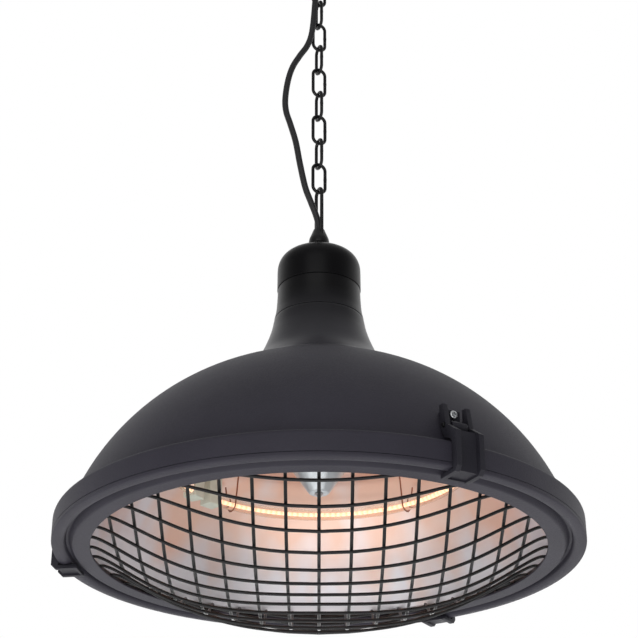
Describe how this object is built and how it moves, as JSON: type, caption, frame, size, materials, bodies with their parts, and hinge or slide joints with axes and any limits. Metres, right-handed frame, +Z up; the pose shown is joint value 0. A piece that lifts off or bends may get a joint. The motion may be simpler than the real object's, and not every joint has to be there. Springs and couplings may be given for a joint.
{
  "type": "hanging patio heater",
  "caption": "Domed electric patio heater with a ring lamp behind a wire grille, hung by a chain and a power cord from a round ceiling canopy.",
  "frame": {"origin": "centre of the ceiling canopy's top face, where it meets the ceiling", "axes": "+Z up into the ceiling, -Y towards the viewer of the picture, +X to the viewer's right"},
  "size_m": [0.4305, 0.4246, 0.7047],
  "materials": {
    "charcoal": "matt powder coat with a fine grain",
    "black_plastic": "satin moulded",
    "black_steel": "satin black coat",
    "zinc": "bright zinc plate",
    "aluminium": "bright rolled sheet",
    "quartz": "clear with a gold tint",
    "ceramic": "matt glazed ceramic",
    "rubber": "matt",
    "white_plastic": "satin moulded"
  },
  "bodies": {
    "canopy": {"canopy_plate": "zinc", "canopy_cup": "black_plastic", "canopy_hook": "black_steel", "canopy_gland": "rubber", "canopy_screw_1": "zinc", "canopy_screw_2": "zinc", "canopy_terminal_block": "white_plastic", "power_cord": "rubber"},
    "link_1": {"chain_link_01": "black_steel"},
    "link_2": {"chain_link_02": "black_steel"},
    "link_3": {"chain_link_03": "black_steel"},
    "link_4": {"chain_link_04": "black_steel"},
    "link_5": {"chain_link_05": "black_steel"},
    "link_6": {"chain_link_06": "black_steel"},
    "link_7": {"chain_link_07": "black_steel"},
    "link_8": {"chain_link_08": "black_steel"},
    "link_9": {"chain_link_09": "black_steel"},
    "link_10": {"chain_link_10": "black_steel"},
    "heater": {"suspension_loop": "black_steel", "gland_cone_nut": "black_steel", "gland_seal": "rubber", "gland_washer": "black_plastic", "hollow_stem": "black_steel", "stem_lock_nut": "zinc", "neck_cap": "black_plastic", "neck_band": "black_plastic", "neck_bell": "black_plastic", "terminal_block": "white_plastic", "tie_rod_1": "zinc", "tie_rod_2": "zinc", "tie_rod_3": "zinc", "shade_clamp_plate": "zinc", "dome_shade": "charcoal", "heat_shield": "aluminium", "reflector_post_1": "zinc", "reflector_post_2": "zinc", "reflector_post_3": "zinc", "reflector_bowl": "aluminium", "centre_cone": "aluminium", "cone_bolt": "zinc", "lamp_tube": "quartz", "lamp_end_left": "ceramic", "lamp_end_right": "ceramic", "lamp_sling_1": "zinc", "lamp_sling_2": "zinc", "lamp_sling_3": "zinc", "rim_ring": "charcoal", "wire_grille": "black_steel", "clamp_lug_1": "charcoal", "clamp_lug_2": "charcoal", "clamp_lug_3": "charcoal", "clamp_screw_1": "zinc", "clamp_screw_2": "zinc", "clamp_screw_3": "zinc"},
    "clamp_1": {"clamp_arm_1": "charcoal", "clamp_pin_1": "black_steel"},
    "clamp_2": {"clamp_arm_2": "charcoal", "clamp_pin_2": "black_steel"},
    "clamp_3": {"clamp_arm_3": "charcoal", "clamp_pin_3": "black_steel"}
  },
  "joints": [
    {"name": "link_1_swing", "type": "hinge", "parent": "canopy", "child": "link_1", "pos_m": [0, 0, -0.056], "axis": [0.9135, 0.4067, 0], "range_deg": [-8, 8], "deforming": ["power_cord"]},
    {"name": "link_2_swing", "type": "hinge", "parent": "link_1", "child": "link_2", "pos_m": [0, 0, -0.0814], "axis": [0.4067, -0.9135, 0], "range_deg": [-8, 8]},
    {"name": "link_3_swing", "type": "hinge", "parent": "link_2", "child": "link_3", "pos_m": [0, 0, -0.1078], "axis": [0.9135, 0.4067, 0], "range_deg": [-8, 8]},
    {"name": "link_4_swing", "type": "hinge", "parent": "link_3", "child": "link_4", "pos_m": [0, 0, -0.1342], "axis": [0.4067, -0.9135, 0], "range_deg": [-8, 8]},
    {"name": "link_5_swing", "type": "hinge", "parent": "link_4", "child": "link_5", "pos_m": [0, 0, -0.1606], "axis": [0.9135, 0.4067, 0], "range_deg": [-8, 8]},
    {"name": "link_6_swing", "type": "hinge", "parent": "link_5", "child": "link_6", "pos_m": [0, 0, -0.187], "axis": [0.4067, -0.9135, 0], "range_deg": [-8, 8]},
    {"name": "link_7_swing", "type": "hinge", "parent": "link_6", "child": "link_7", "pos_m": [0, 0, -0.2134], "axis": [0.9135, 0.4067, 0], "range_deg": [-8, 8]},
    {"name": "link_8_swing", "type": "hinge", "parent": "link_7", "child": "link_8", "pos_m": [0, 0, -0.2398], "axis": [0.4067, -0.9135, 0], "range_deg": [-8, 8]},
    {"name": "link_9_swing", "type": "hinge", "parent": "link_8", "child": "link_9", "pos_m": [0, 0, -0.2662], "axis": [0.9135, 0.4067, 0], "range_deg": [-8, 8]},
    {"name": "link_10_swing", "type": "hinge", "parent": "link_9", "child": "link_10", "pos_m": [0, 0, -0.2926], "axis": [0.4067, -0.9135, 0], "range_deg": [-8, 8]},
    {"name": "heater_swing", "type": "hinge", "parent": "link_10", "child": "heater", "pos_m": [0, 0, -0.319], "axis": [0.9135, 0.4067, 0], "range_deg": [-8, 8]},
    {"name": "clamp_1_open", "type": "hinge", "parent": "heater", "child": "clamp_1", "pos_m": [0.09828, -0.17877, -0.62541], "axis": [-0.8763, -0.4818, 0], "range_deg": [0, 26]},
    {"name": "clamp_2_open", "type": "hinge", "parent": "heater", "child": "clamp_2", "pos_m": [0.10568, 0.17449, -0.62541], "axis": [0.8554, -0.518, 0], "range_deg": [0, 26]},
    {"name": "clamp_3_open", "type": "hinge", "parent": "heater", "child": "clamp_3", "pos_m": [-0.20165, 0.03086, -0.62541], "axis": [0.1513, 0.9885, 0], "range_deg": [0, 26]}
  ]
}
